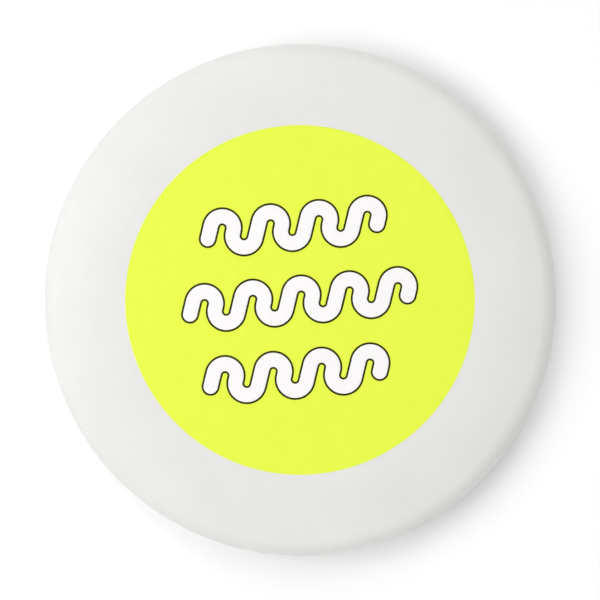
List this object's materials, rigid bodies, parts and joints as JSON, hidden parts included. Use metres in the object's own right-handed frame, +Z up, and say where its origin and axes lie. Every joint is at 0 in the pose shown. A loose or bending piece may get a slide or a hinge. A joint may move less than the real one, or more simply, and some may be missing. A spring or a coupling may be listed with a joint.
{
  "type": "flying disc",
  "caption": "Round flying disc with a domed flight plate, fine concentric flight rings, a rim with an inward lip, and a round print with a wave pattern on its flat top.",
  "frame": {"origin": "centre of the flat ring under the rim that the disc rests on, on the disc's axis", "axes": "+Z up along the disc's axis through its printed top, +X to the right and +Y to the top of the printed pattern, whose wave rows climb 5 degrees to the right"},
  "size_m": [0.2542, 0.2542, 0.0282],
  "materials": {
    "disc_white": "satin moulded low-density polyethylene, slightly translucent, with a very fine mould texture",
    "label_lime": "satin printed ink film",
    "ink_white": "satin printed ink film",
    "ink_black": "satin printed ink film"
  },
  "bodies": {
    "root": {"disc_shell": "disc_white", "label_field": "label_lime", "upper_wave_print": "ink_white", "middle_wave_print": "ink_white", "lower_wave_print": "ink_white", "upper_wave_outline": "ink_black", "middle_wave_outline": "ink_black", "lower_wave_outline": "ink_black"}
  },
  "joints": []
}
